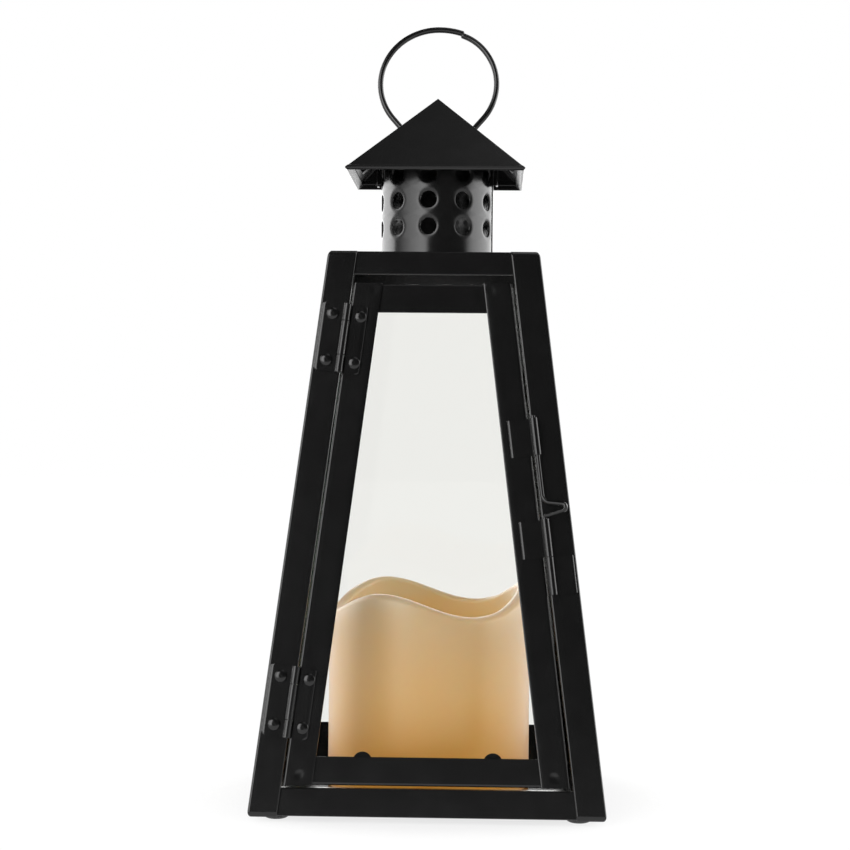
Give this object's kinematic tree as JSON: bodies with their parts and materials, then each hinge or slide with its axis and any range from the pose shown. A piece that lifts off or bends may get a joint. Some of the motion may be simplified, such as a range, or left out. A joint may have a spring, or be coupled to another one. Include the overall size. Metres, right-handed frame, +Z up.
{
  "type": "candle lantern",
  "caption": "Tapered square lantern of black painted sheet steel with glass sides, a hinged and bolted front door, a vented chimney under a pyramid roof, a carry ring and an LED pillar candle.",
  "frame": {"origin": "centre of the square base, on the plane that the feet stand on", "axes": "+Z up, +X to the lantern's right seen from the door side, -Y out of the door"},
  "size_m": [0.125, 0.125, 0.2899],
  "materials": {
    "painted_steel": "semi-gloss black paint",
    "clear_glass": "clear float glass",
    "black_rubber": "matt moulded rubber",
    "ivory_wax": "satin translucent wax",
    "ivory_plastic": "fine moulded texture",
    "battery_metal": "bright nickel plating",
    "lamp_lens": "clear amber epoxy"
  },
  "bodies": {
    "frame": {"post_front_left": "painted_steel", "post_front_right": "painted_steel", "post_back_right": "painted_steel", "post_back_left": "painted_steel", "bottom_rail_front": "painted_steel", "bottom_rail_right": "painted_steel", "bottom_rail_back": "painted_steel", "bottom_rail_left": "painted_steel", "top_rail_front": "painted_steel", "top_rail_right": "painted_steel", "top_rail_back": "painted_steel", "top_rail_left": "painted_steel", "floor_tray": "painted_steel", "top_plate": "painted_steel", "glass_right": "clear_glass", "glass_back": "clear_glass", "glass_left": "clear_glass", "foot_front_left": "black_rubber", "foot_front_right": "black_rubber", "foot_back_right": "black_rubber", "foot_back_left": "black_rubber", "chimney": "painted_steel", "roof_cap": "painted_steel", "roof_bracket_left": "painted_steel", "roof_bracket_right": "painted_steel", "hinge_upper_post_leaf": "painted_steel", "hinge_upper_pin": "painted_steel", "hinge_lower_post_leaf": "painted_steel", "hinge_lower_pin": "painted_steel", "rivet_post_upper_top": "painted_steel", "rivet_post_upper_bottom": "painted_steel", "rivet_post_lower_top": "painted_steel", "rivet_post_lower_bottom": "painted_steel", "latch_catch": "painted_steel"},
    "door": {"door_stile_left": "painted_steel", "door_stile_right": "painted_steel", "door_rail_bottom": "painted_steel", "door_rail_top": "painted_steel", "door_glass": "clear_glass", "hinge_upper_door_leaf": "painted_steel", "hinge_lower_door_leaf": "painted_steel", "rivet_door_upper_top": "painted_steel", "rivet_door_upper_bottom": "painted_steel", "rivet_door_lower_top": "painted_steel", "rivet_door_lower_bottom": "painted_steel", "latch_guide_upper": "painted_steel", "latch_guide_lower": "painted_steel"},
    "bolt": {"latch_bolt": "painted_steel"},
    "ring": {"carry_ring": "painted_steel"},
    "candle": {"candle_wax": "ivory_wax", "candle_battery_case": "ivory_plastic", "battery_cover": "ivory_plastic", "battery_1": "battery_metal", "battery_2": "battery_metal", "candle_led": "lamp_lens"},
    "switch": {"candle_switch": "ivory_plastic"}
  },
  "joints": [
    {"name": "door_hinge", "type": "hinge", "parent": "frame", "child": "door", "pos_m": [-0.04749, -0.05942, 0.04152], "axis": [-0.1213, -0.1213, -0.9852], "range_deg": [0, 150]},
    {"name": "bolt_slide", "type": "slide", "parent": "door", "child": "bolt", "axis": [-0.1213, 0.1213, 0.9852], "range_m": [0, 0.0135]},
    {"name": "ring_swing", "type": "hinge", "parent": "frame", "child": "ring", "pos_m": [0, 0, 0.25], "axis": [1, 0, 0], "range_deg": [-92, 118]},
    {"name": "candle_lift", "type": "slide", "parent": "frame", "child": "candle", "axis": [0, 0, 1], "range_m": [0, 0.06]},
    {"name": "switch_slide", "type": "slide", "parent": "candle", "child": "switch", "axis": [1, 0, 0], "range_m": [0, 0.003]}
  ]
}
